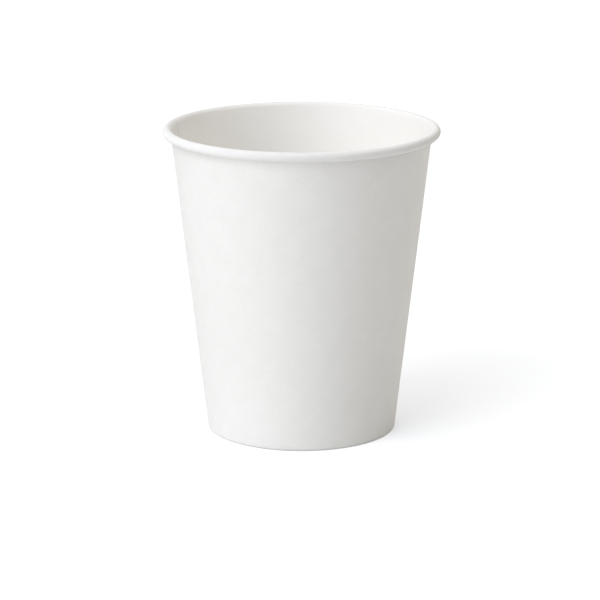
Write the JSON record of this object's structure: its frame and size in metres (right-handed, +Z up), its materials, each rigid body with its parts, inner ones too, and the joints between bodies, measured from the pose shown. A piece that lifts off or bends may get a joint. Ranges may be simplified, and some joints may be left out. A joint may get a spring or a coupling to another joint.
{
  "type": "paper coffee cup",
  "caption": "Plain white paper cup for hot drinks, with a tapered wall, a rolled rim, a lapped side seam and a raised bottom disc.",
  "frame": {"origin": "on the cup's axis, at the table that the foot stands on", "axes": "+Z up along the cup's axis, from the foot to the rim; the side seam stands 160 degrees about +Z from +X"},
  "size_m": [0.08, 0.08, 0.0892],
  "materials": {
    "wall_board": "matte uncoated outside, satin plastic coating inside and round the rim",
    "bottom_board": "satin plastic coating above, matte uncoated below"
  },
  "bodies": {
    "root": {"sidewall": "wall_board", "bottom_disc": "bottom_board"}
  },
  "joints": []
}
